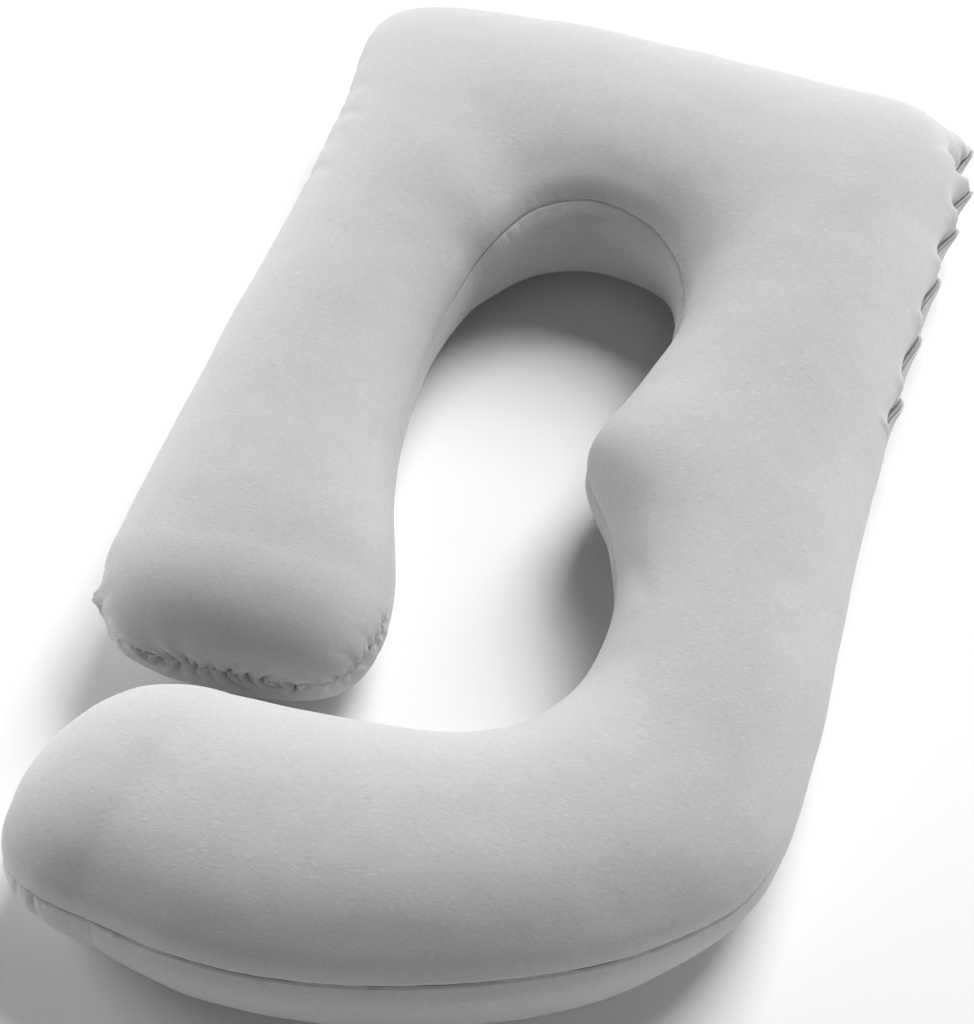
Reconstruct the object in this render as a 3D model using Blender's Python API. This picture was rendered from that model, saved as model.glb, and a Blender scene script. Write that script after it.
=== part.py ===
# G-shaped body pillow lying on its back: a filled two-panel cover with a zip let into its side seam.
# Frame: metres, +Z up, origin under the middle of the pillow; +Y runs to the head bar, -Y to the
# hook, and +X to the long leg that carries the zip.

import math
from collections import namedtuple

import bmesh
import bpy
import numpy as np
from mathutils import Vector

NAME = "body_pillow"

# ---- sizes ----
MIDDLE = np.array((0.0075, -0.0016, 0))  # middle of the pillow in the plan of the sections below
WIDEST = 0.090            # height of the body's widest line
TOP_ROUND = 2.15          # roundness of the upper panel: 2 is an ellipse, more is squarer
BASE_ROUND = 2.90         # roundness of the lower panel, pressed on the surface it lies on
BASE_PRESS = 1.04         # how far the lower panel is pressed flat
PRESS_FALL = 0.7          # how the pressed height falls towards an end
PANEL_STEPS = 22          # faces across each panel
SEAM_CROWDING = 0.4       # how much the faces crowd towards the seams
SEAM_TUCK = 0.003         # depth of the crease at the seam
END_ANGLES = (18, 36, 54, 69, 80, 86, 90)
END_SHOULDER = 0.8        # squareness of the ends in plan
END_FALL = 0.9            # how the thickness falls to the end seam
FOLD_REACH = 0.030        # how far up the panel a tuck of the zip pulls it in
FOLD_OVERHANG = 0.006     # how far the panel bulges out over a tuck
OVERHANG_HEIGHT = 0.048   # distance of that bulge from the seam
UNDERHANG = 0.3           # share of the bulge in the lower panel
TIP_FALL = 0.4            # share of a fold over which its tip dies out
TIP_RISE = 0.2            # share of a fold over which the next tip rises
TUCK_LAG = 1.4            # above 1 the deepest tuck lies past the middle of its fold
BULGE_LAG = 1.8           # the same for the bulge
GATHER_WIDTH = 0.007      # half width of one gather in the end seams
GATHER_FALL = 12          # how fast the gathers die out away from the end seam
EAR_WIDTH = 0.014         # half width of a corner that stands out at the seam
ZIP_SIDE = 0.3            # the zip lies on the body beyond this x

ZIP_WIDTH = 0.009         # both tape edges and the closed coil between them
ZIP_THICK = 0.0022
COIL_WIDTH = 0.004
COIL_RISE = 0.0010
ZIP_PROUD = 0.0008        # how far the tapes stand out of the bottom of the crease
ZIP_GAP = 0.0004          # clearance all round
GROOVE_REACH = 0.020      # how far the groove's cutter reaches out of the seam

JERSEY_GREY = (0.60, 0.60, 0.61)
TAPE_GREY = (0.42, 0.42, 0.43)

# Cross-sections along the body. The lifts are the angles of the two side seams above the widest
# line; steps is the number of stations from this section to the next one.
Section = namedtuple("Section", "outer_x outer_y inner_x inner_y crown outer_lift inner_lift steps")
SECTIONS = (
    # short leg, from its free end
    Section(-0.385, -0.260, -0.067, -0.240, 0.180, 5, 0, 3),
    Section(-0.385, -0.160, -0.080, -0.180, 0.185, 2, 0, 3),
    Section(-0.385, -0.030, -0.130, -0.035, 0.185, 0, 0, 3),
    Section(-0.385, 0.110, -0.150, 0.130, 0.190, 0, 0, 3),
    Section(-0.380, 0.275, -0.135, 0.240, 0.195, 0, 10, 3),
    Section(-0.385, 0.460, -0.110, 0.285, 0.205, -2, 20, 4),
    # head bar
    Section(-0.384, 0.650, -0.070, 0.328, 0.208, -4, 27, 4),
    Section(-0.180, 0.697, -0.012, 0.355, 0.210, -4, 30, 3),
    Section(0.012, 0.697, 0.048, 0.352, 0.210, -4, 26, 3),
    Section(0.200, 0.692, 0.088, 0.332, 0.210, -3, 18, 4),
    Section(0.386, 0.668, 0.112, 0.290, 0.212, -2, 14, 10),
    # long leg
    Section(0.400, 0.465, 0.121, 0.250, 0.205, 0, 13, 8),
    Section(0.398, 0.298, 0.121, 0.208, 0.200, 0, 12, 7),
    Section(0.398, 0.153, 0.101, 0.125, 0.195, 0, 8, 4),
    Section(0.400, 0.020, 0.078, 0.028, 0.195, 0, 0, 4),
    Section(0.408, -0.115, 0.132, -0.062, 0.190, 0, 0, 3),
    Section(0.414, -0.250, 0.165, -0.162, 0.190, 0, 0, 3),
    Section(0.402, -0.422, 0.160, -0.262, 0.190, 3, 0, 3),
    # hook
    Section(0.333, -0.530, 0.120, -0.333, 0.197, 11, 0, 3),
    Section(0.220, -0.620, 0.063, -0.367, 0.198, 20, 0, 4),
    Section(0.048, -0.685, -0.011, -0.383, 0.198, 19, 0, 3),
    Section(-0.105, -0.704, -0.096, -0.392, 0.197, 17, 3, 3),
    Section(-0.236, -0.684, -0.176, -0.397, 0.185, 11, 3, 0),
)

# The two closed ends: length past the last section, share of the width that reaches the end seam,
# height of the end seam, turn of the end in plan, bow of the end seam.
End = namedtuple("End", "length share seam_z turn bow")
SHORT_END = End(0.107, 0.52, 0.086, 0.020, 0.006)
HOOK_END = End(0.130, 0.37, 0.088, 0.009, 0.017)

# Gathers in the end seams: place across the end from the outer seam, and depth.
Gather = namedtuple("Gather", "place depth")
SHORT_GATHERS = (
    Gather(0.09, 0.004),
    Gather(0.22, 0.005),
    Gather(0.36, 0.004),
    Gather(0.50, 0.005),
    Gather(0.63, 0.004),
    Gather(0.77, 0.006),
    Gather(0.91, 0.005),
)
HOOK_GATHERS = (
    Gather(0.14, 0.004),
    Gather(0.50, 0.003),
)

# Folds of the side seam between the tips of the zip: the far tip of the fold, how far the tip
# stands out, how deep the seam tucks in after it.
Fold = namedtuple("Fold", "tip_y stand tuck")
ZIP_FOLDS = (
    Fold(0.672, 0.010, 0.018),
    Fold(0.605, 0.013, 0.019),
    Fold(0.532, 0.008, 0.017),
    Fold(0.440, 0.003, 0.013),
    Fold(0.340, 0.003, 0.010),
    Fold(0.236, 0.003, 0.012),
    Fold(0.160, 0.000, 0.000),
)

# Corners of the cover that stand out at the seam: place in plan and reach.
Ear = namedtuple("Ear", "x y reach")
EARS = (
    Ear(-0.372, -0.322, 0.014),
    Ear(0.388, 0.672, 0.014),
)


def clear_scene():
    for item in list(bpy.data.objects):
        bpy.data.objects.remove(item, do_unlink=True)
    for group in list(bpy.data.collections):
        bpy.data.collections.remove(group)


def new_collection(name):
    group = bpy.data.collections.new(name)
    bpy.context.scene.collection.children.link(group)
    return group


def cloth_material(name, colour, roughness):
    material = bpy.data.materials.new(name)
    material.use_nodes = True
    shader = material.node_tree.nodes["Principled BSDF"]
    shader.inputs["Base Color"].default_value = (*colour, 1.0)
    shader.inputs["Roughness"].default_value = roughness
    return material


def add_object(name, bm, group, material=None):
    """Turn a bmesh into a named object of a collection."""
    bmesh.ops.remove_doubles(bm, verts=bm.verts, dist=0.00001)
    bmesh.ops.recalc_face_normals(bm, faces=bm.faces)
    mesh = bpy.data.meshes.new(name)
    bm.to_mesh(mesh)
    bm.free()
    item = bpy.data.objects.new(name, mesh)
    group.objects.link(item)
    if material:
        mesh.materials.append(material)
    return item


# ---- the body's stations ----
Station = namedtuple("Station", "outer inner crown outer_lift inner_lift widest share bow along")


def blend(before, start, finish, after, t):
    """Catmull-Rom curve between two rows of numbers."""
    return 0.5 * (
        2 * start
        + (finish - before) * t
        + (2 * before - 5 * start + 4 * finish - after) * t ** 2
        + (3 * start - before - 3 * finish + after) * t ** 3
    )


def body_stations():
    """Stations of the body between its two ends."""
    rows = np.array([section[:7] for section in SECTIONS])
    rows = np.vstack([2 * rows[0] - rows[1], rows, 2 * rows[-1] - rows[-2]])
    places = []
    for index, section in enumerate(SECTIONS):
        for step in range(max(section.steps, 1)):
            t = step / max(section.steps, 1)
            last = min(index + 3, len(rows) - 1)
            places.append(blend(rows[index], rows[index + 1], rows[index + 2], rows[last], t))
    return [plain_station(row) for row in places]


def plain_station(row):
    lifts = np.radians(row[5:7])
    return Station(row[0:2], row[2:4], row[4], lifts[0], lifts[1], WIDEST, 1.0, 0.0, np.zeros(2))


def end_stations(last, before, end):
    """Stations that close an end: the body narrows and thins to the end seam."""
    middle = (last.outer + last.inner) / 2
    along = middle - (before.outer + before.inner) / 2
    along /= np.linalg.norm(along)
    half = (last.inner - last.outer) / 2
    stations = []
    for angle in np.radians(END_ANGLES):
        rise = math.sin(angle)
        fall = max(math.cos(angle), 0.0) if angle < math.pi / 2 - 0.001 else 0.0
        turn = end.turn * rise
        spin = np.array([[math.cos(turn), -math.sin(turn)], [math.sin(turn), math.cos(turn)]])
        reach = end.length * rise - (SEAM_TUCK if fall == 0.0 else 0.0)
        centre = middle + spin @ along * reach
        width = spin @ half * (end.share + (1 - end.share) * fall ** END_SHOULDER)
        stations.append(Station(
            centre - width, centre + width, last.crown,
            last.outer_lift * fall, last.inner_lift * fall,
            WIDEST + (end.seam_z - WIDEST) * rise, fall ** END_FALL, end.bow * rise, spin @ along,
        ))
    return stations


def all_stations():
    body = body_stations()
    short = end_stations(body[0], body[1], SHORT_END)
    hook = end_stations(body[-1], body[-2], HOOK_END)
    return short[::-1] + body + hook


# ---- one cross-section ----
def panel_angles(start, finish):
    """Angles round the section from one seam to the other, crowded towards the seams."""
    t = np.linspace(0, 1, PANEL_STEPS + 1)
    crowded = (1 - np.cos(np.pi * t)) / 2
    t = t * (1 - SEAM_CROWDING) + crowded * SEAM_CROWDING
    return start + (finish - start) * t


def panel_points(station, angles):
    """Points of one panel; an angle of 0 is the inner side, 90 degrees the crown."""
    sine, cosine = np.sin(angles), np.cos(angles)
    upper = sine >= 0
    base_round = TOP_ROUND + (BASE_ROUND - TOP_ROUND) * station.share
    power = np.where(upper, TOP_ROUND, base_round)
    across = np.sign(cosine) * np.abs(cosine) ** (2 / power)
    height = np.abs(sine) ** (2 / power)
    crown = (station.crown - station.widest) * station.share * height
    press = min(1.0, station.share ** PRESS_FALL * BASE_PRESS) * np.minimum(1, BASE_PRESS * height)
    z = np.where(upper, station.widest + crown, station.widest * (1 - press))
    outer_part = ((1 - across) / 2)[:, None]
    plan = station.outer * outer_part + station.inner * (1 - outer_part)
    plan = plan + station.along * (station.bow * (1 - across ** 2))[:, None]
    return np.column_stack([plan, np.maximum(z, 0)])


def section_points(station):
    """One closed section: the upper panel from the outer seam to the inner one, then the lower."""
    outer_seam = math.pi - station.outer_lift
    upper = panel_points(station, panel_angles(outer_seam, station.inner_lift))
    lower = panel_points(station, panel_angles(outer_seam, 2 * math.pi + station.inner_lift))
    if station.share == 0.0:
        lower = upper
    return np.vstack([upper, lower[-2:0:-1]])


def tuck_seams(points, station):
    """Pull the two side seams in, so that each lies in a shallow crease."""
    if station.share == 0.0:
        return
    across = np.append(station.inner - station.outer, 0)
    across /= np.linalg.norm(across)
    for seam, inward in ((0, across), (PANEL_STEPS, -across)):
        points[seam] += inward * SEAM_TUCK


def fold_shape(y):
    """How far the zip's seam stands out at y, and how deep it tucks in."""
    for fold, following in zip(ZIP_FOLDS, ZIP_FOLDS[1:]):
        if following.tip_y <= y <= fold.tip_y:
            t = (fold.tip_y - y) / (fold.tip_y - following.tip_y)
            stand = fold.stand * max(0, 1 - t / TIP_FALL)
            stand += following.stand * max(0, 1 - (1 - t) / TIP_RISE)
            tuck = fold.tuck * max(0, math.sin(math.pi * t ** TUCK_LAG))
            bulge = FOLD_OVERHANG * math.sin(math.pi * t ** BULGE_LAG) ** 2
            return stand, tuck, bulge
    return 0.0, 0.0, 0.0


def fold_section(points, station):
    """The side of a section where the zip's seam stands out or is tucked in under the panel."""
    if station.outer[0] < ZIP_SIDE or station.share < 1.0:
        return
    stand, tuck, bulge = fold_shape(points[0][1])
    outward = np.append(station.outer - station.inner, 0)
    outward /= np.linalg.norm(outward)
    seam = points[0].copy()
    for point in points:
        away = np.linalg.norm(point - seam)
        near = math.exp(-(away / FOLD_REACH) ** 2)
        shoulder = math.exp(-((away - OVERHANG_HEIGHT) / FOLD_REACH) ** 2)
        side = shoulder if point[2] > seam[2] else UNDERHANG * shoulder
        point += outward * ((stand - tuck) * near + bulge * side)


def gather_end(points, station, gathers, rise):
    """Notches where the cover is gathered into an end seam."""
    across = station.inner - station.outer
    width = np.linalg.norm(across)
    across = across / width
    for point in points:
        place = float((point[:2] - station.outer) @ across) / width
        for gather in gathers:
            near = math.exp(-((place - gather.place) * width / GATHER_WIDTH) ** 2)
            point[:2] -= station.along * gather.depth * near * rise


def draw_ears(sections):
    """Corners of the cover that stand out at the outer seam."""
    for ear in EARS:
        corner = np.array([ear.x, ear.y])
        for points in sections:
            near = math.exp(-(np.linalg.norm(points[0][:2] - corner) / EAR_WIDTH) ** 2)
            centre = points[:, :2].mean(axis=0)
            outward = points[0][:2] - centre
            outward /= np.linalg.norm(outward)
            points[0][:2] += outward * ear.reach * near


def all_sections():
    stations = all_stations()
    sections = []
    for station in stations:
        points = section_points(station)
        tuck_seams(points, station)
        fold_section(points, station)
        sections.append(points)
    count = len(END_ANGLES)
    for step, angle in enumerate(END_ANGLES):
        rise = math.sin(math.radians(angle)) ** GATHER_FALL
        short = count - 1 - step
        hook = len(stations) - count + step
        gather_end(sections[short], stations[short], SHORT_GATHERS, rise)
        gather_end(sections[hook], stations[hook], HOOK_GATHERS, rise)
    draw_ears(sections)
    return stations, sections


# ---- the solids ----
def loft(name, sections, group, material=None, closed_ends=True):
    """A closed skin over unlike closed sections."""
    bm = bmesh.new()
    rings = [[bm.verts.new(Vector(point - MIDDLE)) for point in points] for points in sections]
    for ring, following in zip(rings, rings[1:]):
        for index in range(len(ring)):
            after = (index + 1) % len(ring)
            bm.faces.new((ring[index], ring[after], following[after], following[index]))
    if closed_ends:
        bm.faces.new(rings[0][::-1])
        bm.faces.new(rings[-1])
    return add_object(name, bm, group, material)


def runs_along(places):
    """Unit directions along a path."""
    runs = np.gradient(places, axis=0)
    return runs / np.linalg.norm(runs, axis=1)[:, None]


def zip_path(stations, sections):
    """Places on the outer seam from the zip's far tip to its near end, with outward directions."""
    far, near = ZIP_FOLDS[0].tip_y, ZIP_FOLDS[-1].tip_y
    on_zip = [station.outer[0] > ZIP_SIDE and near - 0.01 < station.outer[1] < far for station in stations]
    places = np.array([points[0] for points, chosen in zip(sections, on_zip) if chosen])
    outward = np.cross(runs_along(places), (0, 0, 1))
    outward /= np.linalg.norm(outward, axis=1)[:, None]
    outward *= np.sign(outward[:, 0])[:, None]
    return places, outward


def ribbon_sections(places, outward, half, outline):
    """Sections of a ribbon: outline is a list of (depth, share of the half width)."""
    up = np.array((0, 0, 1.0))
    return [
        np.array([place + side * depth + up * (half * share) for depth, share in outline])
        for place, side in zip(places, outward)
    ]


def make_zip(places, outward, group, material):
    """Two tape edges with the closed coil standing between them."""
    back = ZIP_PROUD - ZIP_THICK
    top = ZIP_PROUD + COIL_RISE
    coil = COIL_WIDTH / ZIP_WIDTH
    outline = [
        (back, -1),
        (ZIP_PROUD, -1),
        (ZIP_PROUD, -coil),
        (top, -coil / 2),
        (top, coil / 2),
        (ZIP_PROUD, coil),
        (ZIP_PROUD, 1),
        (back, 1),
    ]
    return loft("zip", ribbon_sections(places, outward, ZIP_WIDTH / 2, outline), group, material)


def cut_zip_groove(pillow, places, outward, group):
    """The groove in the seam that the zip lies in, clear of it all round."""
    back = ZIP_PROUD - ZIP_THICK - ZIP_GAP
    outline = [(back, -1), (GROOVE_REACH, -1), (GROOVE_REACH, 1), (back, 1)]
    longer = places.copy()
    runs = runs_along(places)
    longer[0] -= runs[0] * ZIP_GAP
    longer[-1] += runs[-1] * ZIP_GAP
    half = ZIP_WIDTH / 2 + ZIP_GAP
    cutter = loft("zip_groove", ribbon_sections(longer, outward, half, outline), group)
    cutter.hide_render = True
    cutter.display_type = "WIRE"
    groove = pillow.modifiers.new("zip_groove", "BOOLEAN")
    groove.operation = "DIFFERENCE"
    groove.solver = "EXACT"
    groove.object = cutter


def build():
    clear_scene()
    group = new_collection(NAME)
    cutters = new_collection(NAME + "_cutters")
    jersey = cloth_material("pillow", JERSEY_GREY, 0.95)
    tape = cloth_material("zip", TAPE_GREY, 0.70)
    stations, sections = all_sections()
    pillow = loft("pillow", sections, group, jersey, closed_ends=False)
    places, outward = zip_path(stations, sections)
    make_zip(places, outward, group, tape)
    cut_zip_groove(pillow, places, outward, cutters)


build()
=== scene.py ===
import math
from collections import namedtuple

import bpy
import numpy as np
from mathutils import Matrix, Vector, noise


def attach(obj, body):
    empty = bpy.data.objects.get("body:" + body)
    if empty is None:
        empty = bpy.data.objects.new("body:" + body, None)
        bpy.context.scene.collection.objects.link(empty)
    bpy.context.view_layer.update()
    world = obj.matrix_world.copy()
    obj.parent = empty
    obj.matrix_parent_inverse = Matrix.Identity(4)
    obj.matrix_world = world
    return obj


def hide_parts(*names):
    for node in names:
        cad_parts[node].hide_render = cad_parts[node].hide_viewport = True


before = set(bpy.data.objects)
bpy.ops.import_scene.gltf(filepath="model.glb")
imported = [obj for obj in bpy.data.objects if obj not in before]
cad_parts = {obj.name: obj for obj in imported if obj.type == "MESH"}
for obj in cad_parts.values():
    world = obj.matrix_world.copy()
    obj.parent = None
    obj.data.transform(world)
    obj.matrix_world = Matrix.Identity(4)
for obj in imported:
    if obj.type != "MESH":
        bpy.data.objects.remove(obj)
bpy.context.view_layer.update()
bpy.ops.object.select_all(action="DESELECT")


# ---- The cover and its filling --------------------------------------------------------------
# Two panels of knitted jersey, an upper and a lower, sewn together face to face round the side,
# turned right side out and filled until both are round. The cloth is gathered into the seam at
# the short leg's end, and the long leg's side seam carries the zip.

MIDDLE = np.array((0.0075, -0.0016, 0))   # middle of the pillow in the plan of the sections
WIDEST = 0.090                            # height of the widest line
TOP_ROUND = 2.15                          # roundness of the upper panel: 2 is an ellipse
BASE_ROUND = 2.90                         # the same of the lower panel, squarer where it lies
BASE_PRESS = 1.04                         # how far the lower panel is pressed flat
PRESS_FALL = 0.7                          # how fast that falls towards an end
END_SHOULDER = 0.8                        # how square the ends are in plan
END_FALL = 0.9                            # how fast the thickness falls to an end's seam

# Each section across the body has its ends in plan, the height of its crown, and the angles of
# its two seams above the widest line.
Section = namedtuple("Section", "outer_x outer_y inner_x inner_y crown outer_lift inner_lift")
SECTIONS = (
    # short leg, from its free end
    Section(-0.385, -0.260, -0.067, -0.240, 0.180, 5, 0),
    Section(-0.385, -0.160, -0.080, -0.180, 0.185, 2, 0),
    Section(-0.385, -0.030, -0.130, -0.035, 0.185, 0, 0),
    Section(-0.385, 0.110, -0.150, 0.130, 0.190, 0, 0),
    Section(-0.380, 0.275, -0.135, 0.240, 0.195, 0, 10),
    Section(-0.385, 0.460, -0.110, 0.285, 0.205, -2, 20),
    # head bar
    Section(-0.384, 0.650, -0.070, 0.328, 0.208, -4, 27),
    Section(-0.180, 0.697, -0.012, 0.355, 0.210, -4, 30),
    Section(0.012, 0.697, 0.048, 0.352, 0.210, -4, 26),
    Section(0.200, 0.692, 0.088, 0.332, 0.210, -3, 18),
    Section(0.386, 0.668, 0.112, 0.290, 0.212, -2, 14),
    # long leg
    Section(0.400, 0.465, 0.121, 0.250, 0.205, 0, 13),
    Section(0.398, 0.298, 0.121, 0.208, 0.200, 0, 12),
    Section(0.398, 0.153, 0.101, 0.125, 0.195, 0, 8),
    Section(0.400, 0.020, 0.078, 0.028, 0.195, 0, 0),
    Section(0.408, -0.115, 0.132, -0.062, 0.190, 0, 0),
    Section(0.414, -0.250, 0.165, -0.162, 0.190, 0, 0),
    Section(0.402, -0.422, 0.160, -0.262, 0.190, 3, 0),
    # hook
    Section(0.333, -0.530, 0.120, -0.333, 0.197, 11, 0),
    Section(0.220, -0.620, 0.063, -0.367, 0.198, 20, 0),
    Section(0.048, -0.685, -0.011, -0.383, 0.198, 19, 0),
    Section(-0.105, -0.704, -0.096, -0.392, 0.197, 17, 3),
    Section(-0.236, -0.684, -0.176, -0.397, 0.185, 11, 3),
)

# Each end has its length past the last section, the share of the width that is left at its seam,
# the seam's height, and how far it turns and bows in plan.
End = namedtuple("End", "length share seam_z turn bow")
SHORT_END = End(0.107, 0.52, 0.086, 0.020, 0.006)
HOOK_END = End(0.123, 0.37, 0.088, 0.009, 0.017)

# Loops of the cover's mesh beside every seam, by their distance from it, and the spacing of the
# stations along each stretch of the body and round the ends.
SEAM_LOOPS = (0.0, 0.0014, 0.0028, 0.0036, 0.0044, 0.0054, 0.0068, 0.0086, 0.011, 0.014, 0.018,
              0.024, 0.032)
PANEL_FACES = 70
STATION_GAP = 0.0067
ZIP_STATION_GAP = 0.0035
ZIP_STRETCHES = (10, 11, 12)
END_STATIONS = 34
FINE_STEPS = 241                          # over a panel, before its points are evenly spaced


def between(before, start, finish, after, t):
    """Catmull-Rom curve through rows of numbers."""
    return 0.5 * (2 * start + (finish - before) * t
                  + (2 * before - 5 * start + 4 * finish - after) * t ** 2
                  + (3 * start - before - 3 * finish + after) * t ** 3)


def body_rows():
    """Rows of the section table at every station of the body."""
    rows = np.array(SECTIONS)
    rows = np.vstack([2 * rows[0] - rows[1], rows, 2 * rows[-1] - rows[-2]])
    places = []
    for index in range(len(SECTIONS) - 1):
        start, finish = rows[index + 1], rows[index + 2]
        run = max(np.linalg.norm(finish[:2] - start[:2]), np.linalg.norm(finish[2:4] - start[2:4]))
        gap = ZIP_STATION_GAP if index in ZIP_STRETCHES else STATION_GAP
        steps = math.ceil(run / gap)
        for step in range(steps):
            places.append(between(rows[index], start, finish, rows[index + 3], step / steps))
    places.append(rows[-2])
    return np.array(places)


def end_angles(height):
    """Angles of the stations that close an end, crowded towards the end seam."""
    near = [math.acos((gap / height) ** (1 / END_FALL)) for gap in SEAM_LOOPS]
    wide = np.linspace(0, near[-1], END_STATIONS)[1:-1]
    return np.concatenate([wide, near[::-1]])


def end_rows(last, before, end):
    """Stations that close an end: its table row, then widest, share, bow and direction."""
    outer, inner = last[0:2], last[2:4]
    middle = (outer + inner) / 2
    along = middle - (before[0:2] + before[2:4]) / 2
    along /= np.linalg.norm(along)
    half = (inner - outer) / 2
    rows = []
    for angle in end_angles(last[4] - WIDEST):
        rise, fall = math.sin(angle), max(math.cos(angle), 0.0)
        fall = 0.0 if fall < 1e-9 else fall
        turn = end.turn * rise
        spin = np.array([[math.cos(turn), -math.sin(turn)], [math.sin(turn), math.cos(turn)]])
        centre = middle + spin @ along * end.length * rise
        width = spin @ half * (end.share + (1 - end.share) * fall ** END_SHOULDER)
        rows.append([*(centre - width), *(centre + width), last[4], last[5] * fall, last[6] * fall,
                     WIDEST + (end.seam_z - WIDEST) * rise, fall ** END_FALL, end.bow * rise,
                     *(spin @ along)])
    return rows


body = body_rows()
plain = np.hstack([body, np.tile([WIDEST, 1, 0, 0, 0], (len(body), 1))])
stations = np.vstack([end_rows(body[0], body[1], SHORT_END)[::-1], plain,
                      end_rows(body[-1], body[-2], HOOK_END)])
station_outer, station_inner = stations[:, 0:2], stations[:, 2:4]
station_share = stations[:, 8]
station_along = stations[:, 10:12]


def panel_curve(angles):
    """Points of one panel of every station at the given angles; 90 degrees is the crown."""
    crown, widest, share, bow = (stations[:, index][:, None] for index in (4, 7, 8, 9))
    sine, cosine = np.sin(angles), np.cos(angles)
    power = np.where(sine >= 0, TOP_ROUND, TOP_ROUND + (BASE_ROUND - TOP_ROUND) * share)
    across = np.sign(cosine) * np.abs(cosine) ** (2 / power)
    height = np.abs(sine) ** (2 / power)
    press = np.minimum(1, share ** PRESS_FALL * BASE_PRESS) * np.minimum(1, BASE_PRESS * height)
    z = np.where(sine >= 0, widest + (crown - widest) * share * height, widest * (1 - press))
    part = ((1 - across) / 2)[..., None]
    plan = station_outer[:, None] * part + station_inner[:, None] * (1 - part)
    plan = plan + station_along[:, None] * (bow * (1 - across ** 2))[..., None]
    return np.concatenate([plan, np.maximum(z, 0)[..., None]], axis=2)


def loop_places(length):
    """Distances of the loops across a panel of a given length."""
    near = np.array(SEAM_LOOPS) * min(1, 0.3 * length / SEAM_LOOPS[-1])
    middle = np.linspace(near[-1], length - near[-1], PANEL_FACES - 2 * len(SEAM_LOOPS) + 3)
    return np.concatenate([near, middle[1:-1], length - near[::-1]])


def even_panel(start, finish):
    """One panel of every station, its points spaced by distance, with those distances."""
    t = np.linspace(0, 1, FINE_STEPS)
    dense = panel_curve(start[:, None] + (finish - start)[:, None] * t)
    runs = np.linalg.norm(np.diff(dense, axis=1), axis=2)
    travel = np.hstack([np.zeros((len(dense), 1)), np.cumsum(runs, axis=1)])
    points, places = [], []
    for row, gone in zip(dense, travel):
        wanted = loop_places(gone[-1])
        points.append(np.column_stack([np.interp(wanted, gone, row[:, axis]) for axis in range(3)]))
        places.append(wanted)
    return np.array(points), np.array(places)


outer_seam = math.pi - np.radians(stations[:, 5])
inner_seam = np.radians(stations[:, 6])
upper, upper_place = even_panel(outer_seam, inner_seam)
lower, lower_place = even_panel(outer_seam, 2 * math.pi + inner_seam)
lower[[0, -1]] = upper[[0, -1]]
lower_place[[0, -1]] = upper_place[[0, -1]]


def laid_flat(points, places, top):
    """Plan of a panel when it is cut, flat: every point as far out as the cloth runs to it."""
    count = np.arange(len(stations))
    middle = (station_outer + station_inner) / 2
    across = station_inner - station_outer
    across = across / np.linalg.norm(across, axis=1)[:, None]
    offset = ((points[..., :2] - middle[:, None]) * across[:, None]).sum(axis=2)
    past = np.argmax(offset >= 0, axis=1)
    before, after = offset[count, past - 1], offset[count, past]
    step = places[count, past] - places[count, past - 1]
    crown = places[count, past] - step * after / (after - before)
    flat = middle[:, None] + across[:, None] * (places - crown[:, None])[..., None]
    plain_rows = np.flatnonzero(station_share >= 1)
    for rows, first in ((count < plain_rows[0], plain_rows[0]),
                        (count > plain_rows[-1], plain_rows[-1])):
        away = points[rows][..., :2] - middle[first]
        level = np.maximum(np.linalg.norm(away, axis=2), 1e-6)
        deep = abs(top[first] - WIDEST)
        rise = np.clip(1 - np.abs(points[rows][..., 2] - top[first]) / deep, 0, 0.999)
        reach = level / np.sqrt(1 - rise ** 2)
        steps = np.linspace(0, 1, 25)[:, None, None] * level / reach
        height = deep * np.sqrt(1 - steps ** 2)
        run = np.hypot(np.diff(steps * reach, axis=0), np.diff(height, axis=0)).sum(axis=0)
        flat[rows] = middle[first] + away * (run / level)[..., None]
    return flat


# The whole skin as one grid: stations by loops, out over the upper panel, back under the lower.
# The flat panels lie side by side on the cloth that they are cut from.
PANELS_APART = (3.0, 0.0)
SHORT_END_REACH = 0.16                    # of the gathered end along the short leg
loops = 2 * PANEL_FACES
on_upper = np.arange(loops + 1) <= PANEL_FACES
mirror_loop = np.where(on_upper, np.arange(loops + 1), loops - np.arange(loops + 1))
skin = np.concatenate([upper, lower[:, -2::-1]], axis=1) - MIDDLE
upper_flat = laid_flat(upper, upper_place, stations[:, 4])
upper_flat = np.concatenate([upper_flat, upper_flat[:, -2::-1]], axis=1)
lower_flat = laid_flat(lower, lower_place, 0 * stations[:, 4])
lower_flat = np.concatenate([lower_flat, lower_flat[:, -2::-1]], axis=1) + PANELS_APART
from_outer = np.concatenate([upper_place, lower_place[:, -2::-1]], axis=1)
span = np.where(on_upper, upper_place[:, -1:], lower_place[:, -1:])
from_inner = span - from_outer
rows_run = np.linalg.norm(np.diff(skin, axis=0), axis=2)
from_short_end = np.vstack([np.zeros(loops + 1), np.cumsum(rows_run, axis=0)])
from_hook_end = from_short_end[-1] - from_short_end
seam_gap = np.minimum.reduce([from_outer, from_inner, from_short_end, from_hook_end])
outward = np.append(station_outer - station_inner, np.zeros((len(stations), 1)), axis=1)
outward /= np.linalg.norm(outward, axis=1)[:, None]

# The run along the seam that each point is nearest to: 0 at the outer corner of the short end,
# on over that end and up the inner seam, and backwards down the outer seam.
end_run = upper_place[0][mirror_loop]
outer_run = -from_short_end[:, :1]
inner_run = upper_place[0, -1] + from_short_end[:, PANEL_FACES:PANEL_FACES + 1]
hook_run = outer_run[-1] - upper_place[-1][mirror_loop]
nearest = np.argmin([from_short_end, from_hook_end, from_outer, from_inner], axis=0)
seam_run = np.choose(nearest, [end_run + 0 * skin[..., 0], hook_run + 0 * skin[..., 0],
                               outer_run + 0 * skin[..., 0], inner_run + 0 * skin[..., 0]])
at_short_end = np.exp(-(from_short_end / SHORT_END_REACH) ** 2)


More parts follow.
